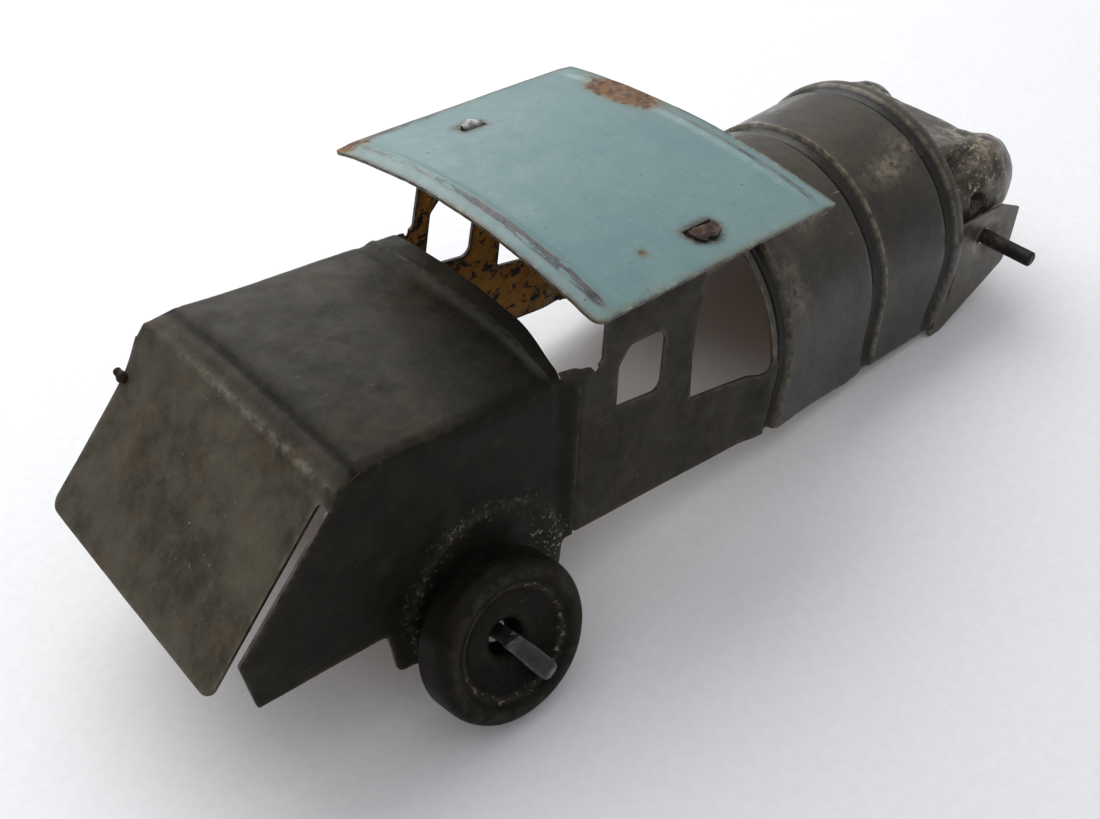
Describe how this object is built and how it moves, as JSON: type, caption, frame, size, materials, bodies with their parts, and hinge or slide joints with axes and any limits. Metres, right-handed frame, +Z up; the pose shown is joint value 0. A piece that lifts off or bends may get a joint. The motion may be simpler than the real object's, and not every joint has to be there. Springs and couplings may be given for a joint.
{
  "type": "tinplate toy locomotive",
  "caption": "Small folded tinplate toy steam locomotive with open cab, arched roof, horseshoe boiler, loose rear disc wheels and a bare front axle rod.",
  "frame": {"origin": "on the table, under the middle of the model's bounding box", "axes": "+X forward to the smokebox, +Y to the left (far side), +Z up"},
  "size_m": [0.1072, 0.0462, 0.0337],
  "materials": {
    "dark_tin": "worn dark grey-brown tinplate, satin, yellow-orange print on the inside",
    "roof_paint": "worn light blue paint, satin",
    "bare_tin": "bare tinplate, dull",
    "wheel_tin": "worn dark grey tinplate, satin",
    "black_rod": "blackened wire, satin"
  },
  "bodies": {
    "body": {"bunker_pressing": "dark_tin", "cab_side_near": "dark_tin", "cab_side_far": "dark_tin", "boiler_shell": "dark_tin", "smokebox_front": "dark_tin", "roof_sheet": "roof_paint", "rear_axle_strip": "bare_tin"},
    "near_rear_wheel": {"rear_wheel_near": "wheel_tin"},
    "far_rear_wheel": {"rear_wheel_far": "wheel_tin"},
    "front_axle": {"front_axle_rod": "black_rod"}
  },
  "joints": [
    {"name": "near_rear_wheel_spin", "type": "hinge", "parent": "body", "child": "near_rear_wheel", "pos_m": [-0.03085, -0.021, 0.00816], "axis": [0, -0.9511, 0.309], "continuous": true},
    {"name": "far_rear_wheel_spin", "type": "hinge", "parent": "body", "child": "far_rear_wheel", "pos_m": [-0.03085, 0.021, 0.00816], "axis": [0, 0.9511, 0.309], "continuous": true},
    {"name": "front_axle_spin", "type": "hinge", "parent": "body", "child": "front_axle", "pos_m": [0.0443, 0, 0.0092], "axis": [0, 1, 0], "continuous": true}
  ]
}
